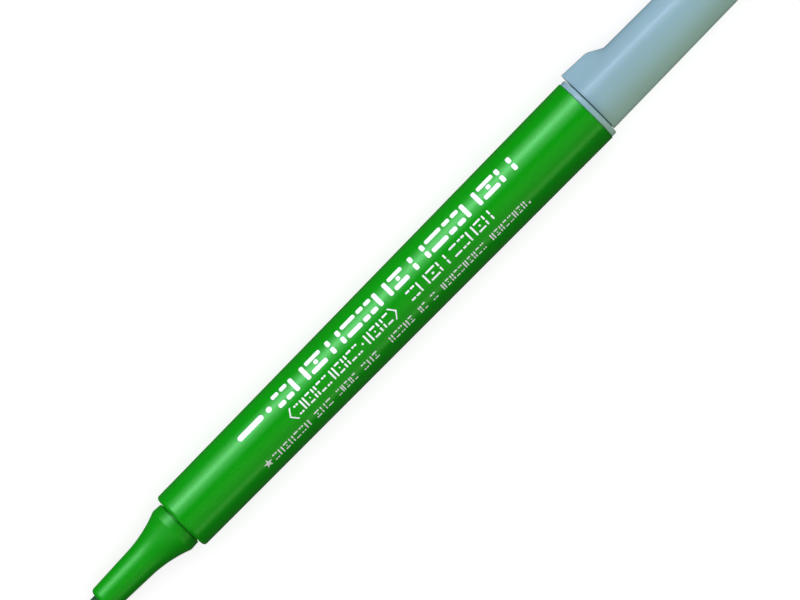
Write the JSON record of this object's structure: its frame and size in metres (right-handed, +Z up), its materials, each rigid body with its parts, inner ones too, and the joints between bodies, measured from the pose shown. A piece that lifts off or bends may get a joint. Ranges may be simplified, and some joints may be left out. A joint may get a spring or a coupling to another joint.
{
  "type": "whiteboard marker",
  "caption": "Slim bullet-tip whiteboard marker in use: round green barrel and nose, pale grey-blue cap with an anti-roll lug pushed on the tail. The cap pulls off along the pen.",
  "frame": {"origin": "on the surface the pen lies on, under the middle of its length and under its axis", "axes": "+X along the pen from the nib to the cap's closed end, +Y the way the cap's lug points, +Z up, the way the print faces"},
  "size_m": [0.1504, 0.0123, 0.0116],
  "materials": {
    "green_plastic": "moulded, semi-gloss",
    "pale_plastic": "moulded, satin",
    "nib_fibre": "pressed polyester fibre soaked with ink",
    "wick_fibre": "bundled fibre soaked with ink",
    "clear_film": "thin smooth film",
    "liner_plastic": "soft moulded",
    "white_ink": "thin printed ink"
  },
  "bodies": {
    "pen": {"barrel": "green_plastic", "front_section": "green_plastic", "nib": "nib_fibre", "reservoir_wick": "wick_fibre", "reservoir_film": "clear_film", "rear_plug": "pale_plastic"},
    "cap_body": {"cap": "pale_plastic", "inner_cap": "liner_plastic"}
  },
  "joints": [
    {"name": "cap_slide", "type": "slide", "parent": "pen", "child": "cap_body", "axis": [1, 0, 0], "range_m": [0, 0.015]}
  ]
}
